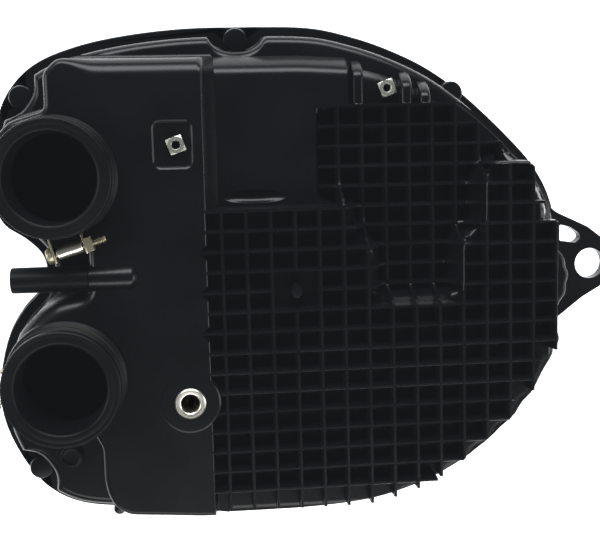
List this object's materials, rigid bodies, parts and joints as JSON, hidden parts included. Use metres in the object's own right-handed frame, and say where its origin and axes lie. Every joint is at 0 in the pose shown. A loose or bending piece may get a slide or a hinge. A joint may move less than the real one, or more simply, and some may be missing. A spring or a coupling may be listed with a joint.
{
  "type": "air filter housing",
  "caption": "Ribbed plastic airbox with a dished cover, a flat pleated element and rubber duct boots that clamp to the engine's intakes.",
  "frame": {"origin": "middle of the underside, on the surface that the outer cover lies on", "axes": "+X from the ducts to the mounting ear, +Z out of the ducts, +Y towards the side with the plain raised box"},
  "size_m": [0.34, 0.26, 0.106],
  "materials": {
    "black_plastic": "satin moulded",
    "black_rubber": "matte",
    "zinc_plate": "zinc plated",
    "steel": "plain",
    "filter_paper": "pleated paper",
    "wire_screen": "dull"
  },
  "bodies": {
    "cover": {"cover": "black_plastic", "cover_screw_1": "steel", "cover_screw_2": "steel", "cover_screw_3": "steel", "cover_screw_4": "steel", "cover_screw_5": "steel", "cover_screw_6": "steel", "cover_screw_7": "steel", "intake_snorkel": "black_rubber"},
    "case": {"case": "black_plastic", "cover_seal": "black_rubber", "divider_plate": "black_plastic", "divider_screw_1": "steel", "divider_screw_2": "steel", "divider_screw_3": "steel", "divider_screw_4": "steel", "mount_collar": "zinc_plate", "square_nut_left": "zinc_plate", "square_nut_top": "zinc_plate"},
    "element": {"element_frame": "black_rubber", "element_media": "filter_paper", "element_screen": "wire_screen"},
    "boot_upper": {"duct_boot_upper": "black_rubber", "clamp_band_upper": "zinc_plate", "clamp_sleeve_upper": "zinc_plate", "clamp_nut_upper": "zinc_plate"},
    "boot_lower": {"duct_boot_lower": "black_rubber", "clamp_band_lower": "zinc_plate", "clamp_sleeve_lower": "zinc_plate", "clamp_nut_lower": "zinc_plate"},
    "screw_upper": {"clamp_screw_upper": "steel"},
    "screw_lower": {"clamp_screw_lower": "steel"},
    "drain": {"drain_plug": "black_rubber"},
    "hose": {"breather_hose": "black_rubber"}
  },
  "joints": [
    {"name": "case_lift", "type": "slide", "parent": "cover", "child": "case", "axis": [0, 0, 1], "range_m": [0, 0.12]},
    {"name": "element_lift", "type": "slide", "parent": "cover", "child": "element", "axis": [0, 0, 1], "range_m": [0, 0.06]},
    {"name": "boot_upper_pull", "type": "slide", "parent": "case", "child": "boot_upper", "axis": [0, 0, 1], "range_m": [0, 0.04]},
    {"name": "boot_lower_pull", "type": "slide", "parent": "case", "child": "boot_lower", "axis": [0, 0, 1], "range_m": [0, 0.04]},
    {"name": "clamp_screw_upper_turn", "type": "hinge", "parent": "boot_upper", "child": "screw_upper", "pos_m": [-0.11812, 0.02042, 0.0915], "axis": [0.9593, 0.2823, 0], "continuous": true},
    {"name": "clamp_screw_lower_turn", "type": "hinge", "parent": "boot_lower", "child": "screw_lower", "pos_m": [-0.163, -0.046, 0.0915], "axis": [0, -1, 0], "continuous": true},
    {"name": "drain_plug_pull", "type": "slide", "parent": "case", "child": "drain", "axis": [0, 0, 1], "range_m": [0, 0.02]},
    {"name": "hose_pull", "type": "slide", "parent": "case", "child": "hose", "axis": [-1, 0, 0], "range_m": [0, 0.03]}
  ],
  "couplings": [
    {"joint": "element_lift", "follows": "case_lift", "ratio": 0.5}
  ]
}
